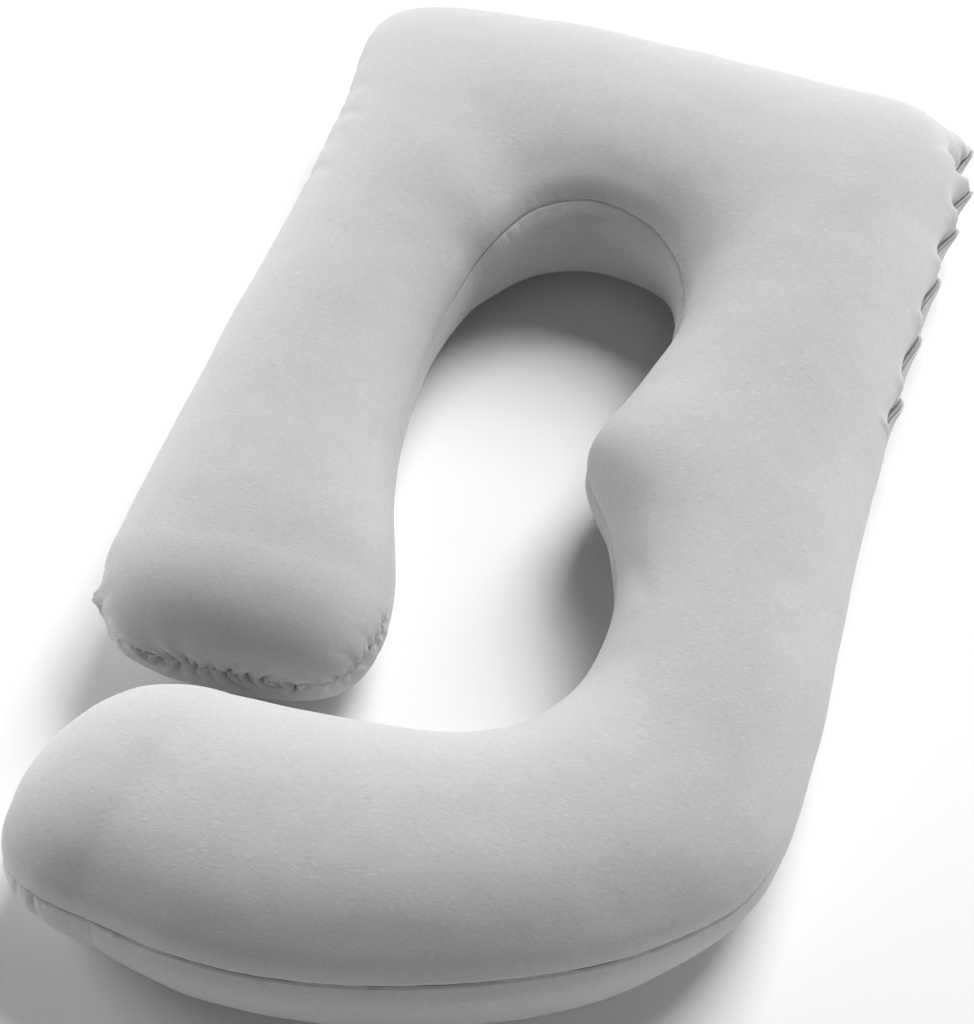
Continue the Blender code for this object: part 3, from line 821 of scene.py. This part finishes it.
class Line:
    """A line over the cover with its outward and crosswise directions, walked by its length."""

    def __init__(self, points, out, cross):
        self.points, self.out, self.cross = points, out, cross
        runs = np.linalg.norm(np.diff(points, axis=0), axis=1)
        self.run = np.concatenate([[0], np.cumsum(runs)])

    def at(self, run):
        """The place at a run, and the directions along the line, across it and outwards."""
        place, out, cross = (
            np.array([np.interp(run, self.run, rows[:, axis]) for axis in range(3)])
            for rows in (self.points, self.out, self.cross))
        along = np.cross(cross, out)
        return [place, *(way / np.linalg.norm(way) for way in (along, cross, out))]


def smoothed(rows, times):
    """Rows of points averaged with their neighbours, all but the first and the last."""
    for _ in range(times):
        rows = np.vstack([rows[:1], (rows[:-2] + 2 * rows[1:-1] + rows[2:]) / 4, rows[-1:]])
    return rows


zip_rows = np.flatnonzero(zip_share[:, 0] > 0.5)
upper_lip = skin[zip_rows, LIP_LOOP]
lower_lip = skin[zip_rows, loops - LIP_LOOP]
bed = smoothed((upper_lip + lower_lip) / 2, 3)
cross = upper_lip - lower_lip
cross /= np.linalg.norm(cross, axis=1)[:, None]
out = np.cross(np.gradient(bed, axis=0), cross)
out /= np.linalg.norm(out, axis=1)[:, None]
if (out * outward[zip_rows]).sum() < 0:
    out = -out
zip_line = Line(bed, smoothed(out, 3), smoothed(cross, 3))


def cloth_band(name, line, outline):
    """A band of the given outline (across, out) laid along a line, with its ends closed."""
    rows = len(line.points)
    bpy.ops.object.select_all(action="DESELECT")
    bpy.ops.mesh.primitive_grid_add(x_subdivisions=len(outline), y_subdivisions=rows - 1, size=1)
    band = bpy.context.object
    band.name = name
    column, row = grid_cells(band.data, len(outline), rows - 1)
    shape = np.array(outline + outline[:1])
    spots = line.points[row] + line.cross[row] * shape[column, :1]
    spots = spots + line.out[row] * shape[column, 1:]
    band.data.vertices.foreach_set("co", spots.ravel())
    corner = np.empty(len(band.data.loops), dtype=int)
    band.data.loops.foreach_get("vertex_index", corner)
    around = np.concatenate([[0], np.cumsum(np.linalg.norm(np.diff(shape, axis=0), axis=1))])
    flat = np.column_stack([around[column[corner]], line.run[row[corner]]])
    band.data.uv_layers[0].name = "cloth"
    band.data.uv_layers[0].data.foreach_set("uv", flat.ravel())
    bpy.ops.object.mode_set(mode="EDIT")
    bpy.ops.mesh.select_all(action="SELECT")
    bpy.ops.mesh.remove_doubles(threshold=0.000001)
    bpy.ops.mesh.select_all(action="DESELECT")
    bpy.ops.mesh.select_non_manifold()
    bpy.ops.mesh.edge_face_add()
    bpy.ops.mesh.select_all(action="SELECT")
    bpy.ops.mesh.normals_make_consistent(inside=False)
    bpy.ops.object.mode_set(mode="OBJECT")
    bpy.ops.object.shade_smooth_by_angle(angle=math.radians(40))
    return band


tape = cloth_band("zip_tape", zip_line, [(-TAPE_HALF, -TAPE_SINK), (TAPE_HALF, -TAPE_SINK),
                                         (TAPE_HALF, -TAPE_SINK - TAPE_THICK),
                                         (-TAPE_HALF, -TAPE_SINK - TAPE_THICK)])


def woven_tape(name, light, dark):
    """Polyester tape: a fine twill across the band, a little darker than the jersey."""
    material, tree, shader = new_material(name, 0.75, 0.1)
    start = Socket(tree, None)
    cloth_place = start.node("UVMap", {"uv_map": "cloth"}, {})
    ribs = cloth_place.node("TexWave", {"wave_type": "BANDS", "bands_direction": "DIAGONAL"},
                            {"Vector": cloth_place.scaled(1400, 1400, 1), "Scale": 1.0})
    shade = cloth_place.scaled(300, 90, 1).noise(2.0)
    colour = (ribs * 0.5 + shade * 0.5).blend(dark, light)
    tree.links.new(colour.socket, shader.inputs["Base Color"])
    bump = start.node("Bump", {}, {"Height": ribs, "Strength": 0.4, "Distance": 0.0003})
    tree.links.new(bump.socket, shader.inputs["Normal"])
    return material


tape.data.materials.append(woven_tape("grey_tape", light=(0.25, 0.25, 0.25),
                                      dark=(0.18, 0.18, 0.18)))
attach(tape, "root")
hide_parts("zip")


def laid_copies(pattern, line, runs, shift, rise, turn):
    """Copies of a small piece set along a line, joined into the first."""
    copies = []
    for run in runs:
        place, along, cross, out = line.at(run)
        lean = math.cos(turn) * along + math.sin(turn) * cross
        cross = math.cos(turn) * cross - math.sin(turn) * along
        copy = pattern.copy()
        copy.data = pattern.data.copy()
        bpy.context.collection.objects.link(copy)
        frame_here = Matrix((lean, cross, out)).transposed().to_4x4()
        frame_here.translation = Vector(place + shift * cross + rise * out)
        copy.data.transform(frame_here)
        copies.append(copy)
    bpy.ops.object.select_all(action="DESELECT")
    for copy in copies:
        copy.select_set(True)
    bpy.context.view_layer.objects.active = copies[0]
    bpy.ops.object.join()
    return copies[0]


bpy.ops.object.select_all(action="DESELECT")
bpy.ops.mesh.primitive_cube_add(size=1)
tooth = bpy.context.object
tooth.name = "tooth"
bpy.ops.object.mode_set(mode="EDIT")
bpy.ops.transform.resize(value=(TOOTH_LONG, TOOTH_WIDE, TOOTH_HIGH))
bpy.ops.mesh.bevel(offset=TOOTH_BEVEL, segments=1, affect="EDGES")
bpy.ops.object.mode_set(mode="OBJECT")
bpy.ops.object.shade_smooth()
teeth = np.arange(COIL_END, zip_line.run[-1] - COIL_END, TOOTH_PITCH)
coil_rise = TOOTH_HIGH / 2 - TAPE_SINK - 0.0001
upper_teeth = laid_copies(tooth, zip_line, teeth, TOOTH_SHIFT, coil_rise, TOOTH_TURN)
lower_teeth = laid_copies(tooth, zip_line, teeth + TOOTH_PITCH / 2, -TOOTH_SHIFT, coil_rise,
                          -TOOTH_TURN)
bpy.data.objects.remove(tooth)
bpy.ops.object.select_all(action="DESELECT")
lower_teeth.select_set(True)
upper_teeth.select_set(True)
bpy.context.view_layer.objects.active = upper_teeth
bpy.ops.object.join()
coil = upper_teeth
coil.name = "zip_coil"


def nylon(name, colour, deep):
    """Drawn nylon monofilament, a little glossy, its grey darker in small random patches."""
    material, tree, shader = new_material(name, 0.42, 0.0)
    start = Socket(tree, None)
    where = start.node("TexCoord", {}, {}, 3)
    tint = where.scaled(400, 400, 400).noise(2.0).ramp(0.35, 0.65).blend(deep, colour)
    tree.links.new(tint.socket, shader.inputs["Base Color"])
    return material


coil.data.materials.clear()
coil.data.materials.append(nylon("grey_nylon", colour=(0.64, 0.64, 0.64),
                                 deep=(0.50, 0.50, 0.50)))
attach(coil, "root")


# ---- The room -------------------------------------------------------------------------------
# A plain pale floor without an edge in view, soft light from above and behind the head bar, and
# weaker fills from both sides and the front.

FLOOR_SIZE, FLOOR_DROP = 60, 0.0006
bpy.ops.mesh.primitive_plane_add(size=FLOOR_SIZE, location=(0, 0, -FLOOR_DROP))
floor = bpy.context.object
floor.name = "floor"
floor_material = bpy.data.materials.new("pale_floor")
floor_material.use_nodes = True
floor_shader = floor_material.node_tree.nodes["Principled BSDF"]
floor_shader.inputs["Base Color"].default_value = (0.93, 0.93, 0.93, 1)
floor_shader.inputs["Roughness"].default_value = 0.9
floor_shader.inputs["Specular IOR Level"].default_value = 0.1
floor.data.materials.append(floor_material)

world = bpy.data.worlds.new("soft_studio")
world.use_nodes = True
world.node_tree.nodes["Background"].inputs["Color"].default_value = (1, 1, 1, 1)
world.node_tree.nodes["Background"].inputs["Strength"].default_value = 0.05
bpy.context.scene.world = world
bpy.context.scene.view_settings.view_transform = "Standard"

Lamp = namedtuple("Lamp", "name place size power")
LAMPS = (
    Lamp("back_softbox", (1.8, 7.2, 6.8), 6.0, 1450),
    Lamp("right_softbox", (5.7, 1.0, 1.7), 3.0, 80),
    Lamp("left_softbox", (-2.9, 0.2, 0.85), 1.6, 60),
    Lamp("front_softbox", (-0.4, -6.4, 1.2), 2.4, 58),
)
for lamp in LAMPS:
    bpy.ops.object.light_add(type="AREA", location=lamp.place)
    softbox = bpy.context.object
    softbox.name = lamp.name
    softbox.data.shape = "SQUARE"
    softbox.data.size = lamp.size
    softbox.data.energy = lamp.power
    softbox.rotation_mode = "QUATERNION"
    softbox.rotation_quaternion = (Vector((0, 0, 0)) - Vector(lamp.place)).to_track_quat("-Z", "Y")

# The camera stands in front of the hook and a little to the right, looking steeply down.
CAMERA_TURN = math.radians(18.3)
CAMERA_RISE = math.radians(53)
CAMERA_AIM = Vector((-0.0165, -0.0684, 0.09))
CAMERA_FAR = 2.485
CAMERA_LENS, SENSOR_WIDTH = 77.7, 36
back = Vector((math.sin(CAMERA_TURN) * math.cos(CAMERA_RISE),
               -math.cos(CAMERA_TURN) * math.cos(CAMERA_RISE), math.sin(CAMERA_RISE)))
right = Vector((math.cos(CAMERA_TURN), math.sin(CAMERA_TURN), 0))
up = back.cross(right)
camera = bpy.data.objects.new("camera", bpy.data.cameras.new("camera"))
bpy.context.scene.collection.objects.link(camera)
camera.rotation_mode = "QUATERNION"
camera.location = CAMERA_AIM + back * CAMERA_FAR
camera.rotation_quaternion = Matrix((right, up, back)).transposed().to_quaternion()
camera.data.lens = CAMERA_LENS
camera.data.sensor_width = SENSOR_WIDTH
bpy.context.scene.camera = camera
